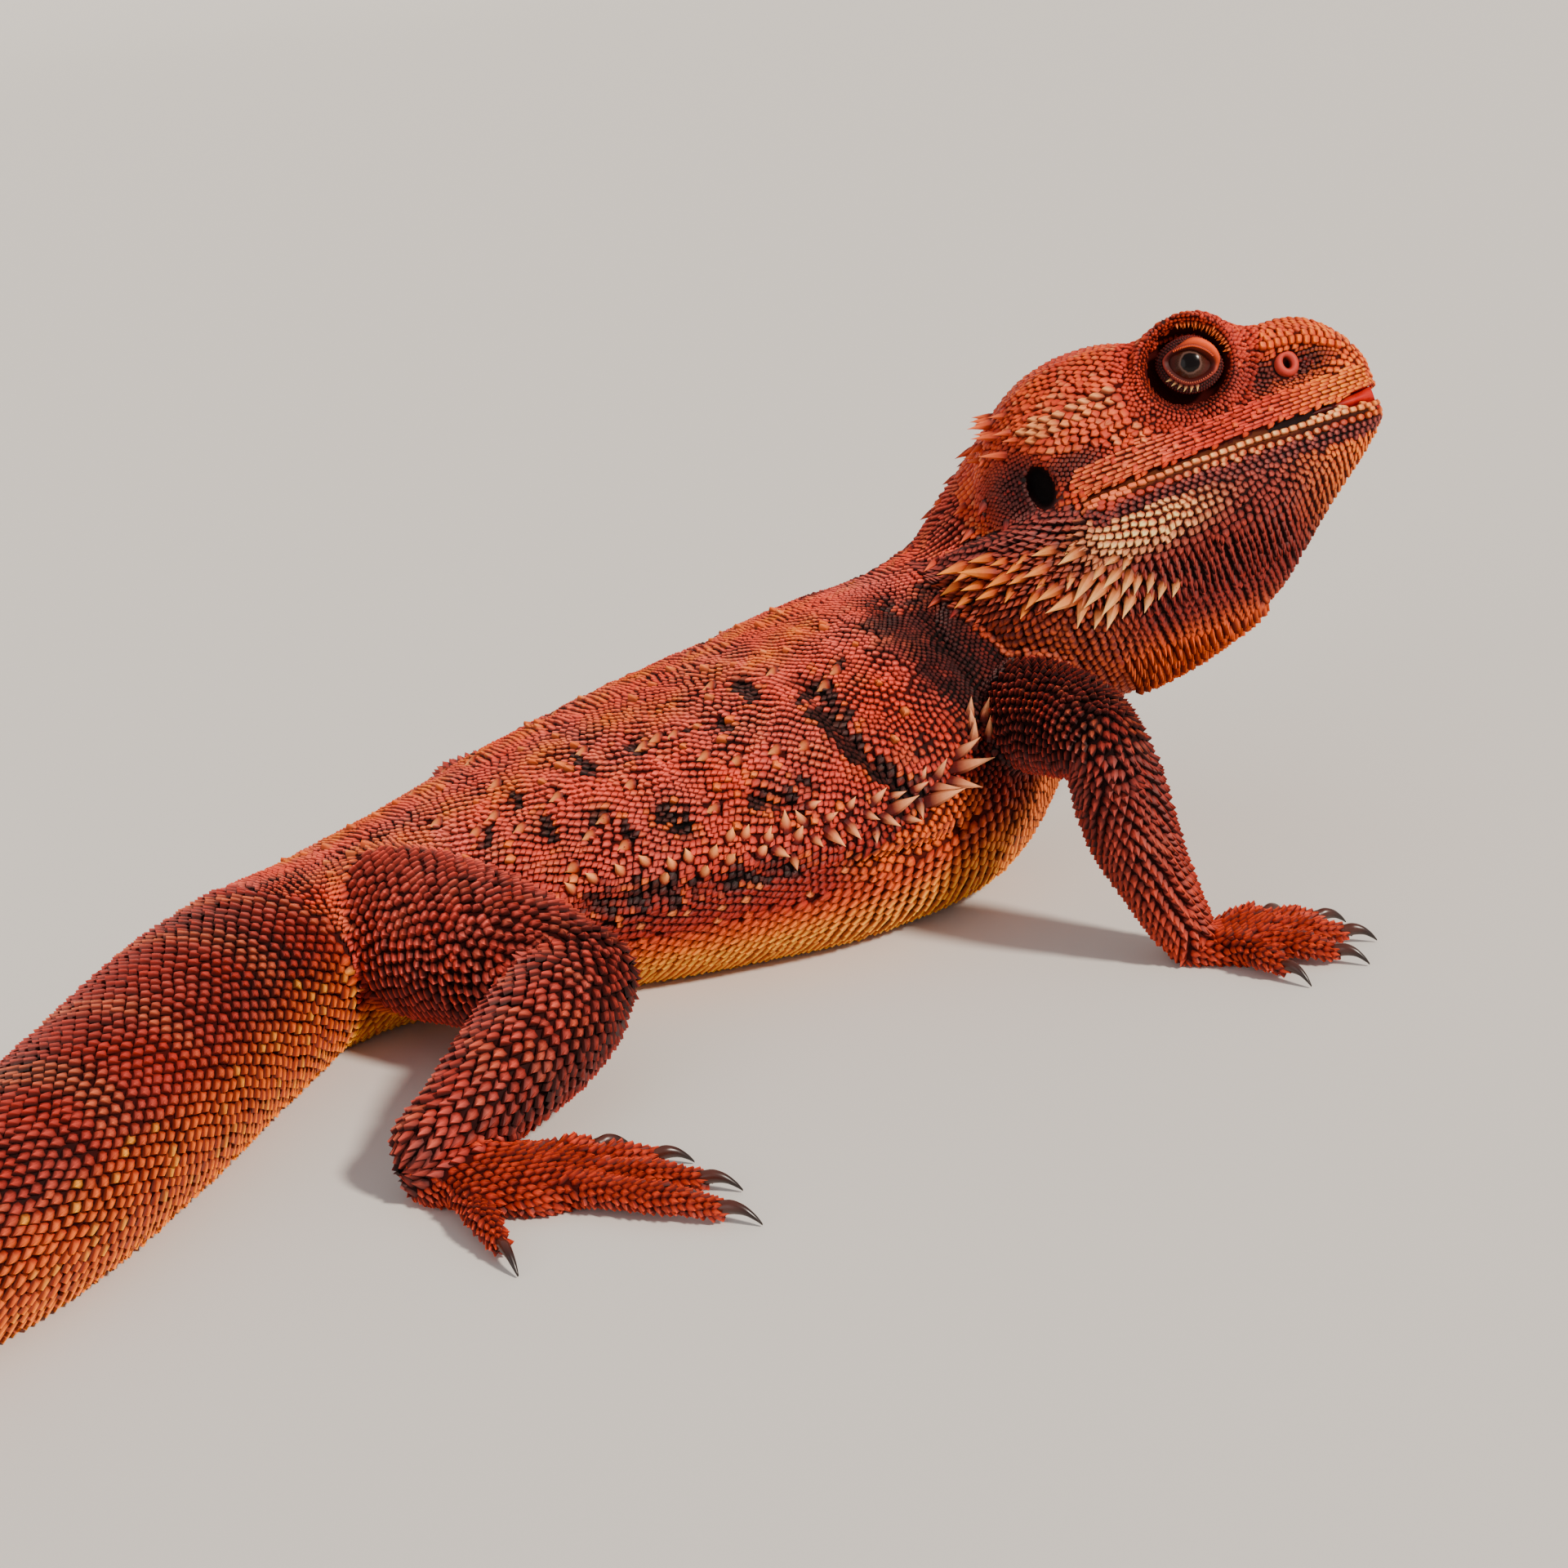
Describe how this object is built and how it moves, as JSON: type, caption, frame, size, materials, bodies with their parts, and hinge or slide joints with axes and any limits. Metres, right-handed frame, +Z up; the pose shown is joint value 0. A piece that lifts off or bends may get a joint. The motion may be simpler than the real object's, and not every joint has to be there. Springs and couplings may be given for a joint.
{
  "type": "bearded dragon model",
  "caption": "Life-size still model of a bearded dragon, lying on its belly with chest and head raised.",
  "frame": {"origin": "on the flat under the belly, at the floor", "axes": "+X is the way the trunk faces, +Y is the animal's left and +Z is up"},
  "size_m": [0.3764, 0.1951, 0.078],
  "materials": {
    "skin": "matte brick-red scales",
    "belly": "matte orange scales",
    "head": "matte orange-red scales",
    "eye": "wet and glossy",
    "claw": "satin dark horn",
    "mouth": "moist"
  },
  "bodies": {
    "root": {"beard": "belly", "eye_left": "eye", "eye_right": "eye", "foot_left": "skin", "foot_left_claw_1": "claw", "foot_left_claw_2": "claw", "foot_left_claw_3": "claw", "foot_left_claw_4": "claw", "foot_left_claw_5": "claw", "foot_right": "skin", "foot_right_claw_1": "claw", "foot_right_claw_2": "claw", "foot_right_claw_3": "claw", "foot_right_claw_4": "claw", "foot_right_claw_5": "claw", "forearm_left": "skin", "forearm_right": "skin", "hand_left": "skin", "hand_left_claw_1": "claw", "hand_left_claw_2": "claw", "hand_left_claw_3": "claw", "hand_left_claw_4": "claw", "hand_left_claw_5": "claw", "hand_right": "skin", "hand_right_claw_1": "claw", "hand_right_claw_2": "claw", "hand_right_claw_3": "claw", "hand_right_claw_4": "claw", "hand_right_claw_5": "claw", "head": "head", "lower_jaw": "head", "neck": "skin", "shank_left": "skin", "shank_right": "skin", "tail_base": "skin", "tail_front": "skin", "tail_middle": "skin", "tail_rear": "skin", "tail_tip": "skin", "thigh_left": "skin", "thigh_right": "skin", "tongue": "mouth", "torso": "skin", "upper_arm_left": "skin", "upper_arm_right": "skin"}
  },
  "joints": []
}
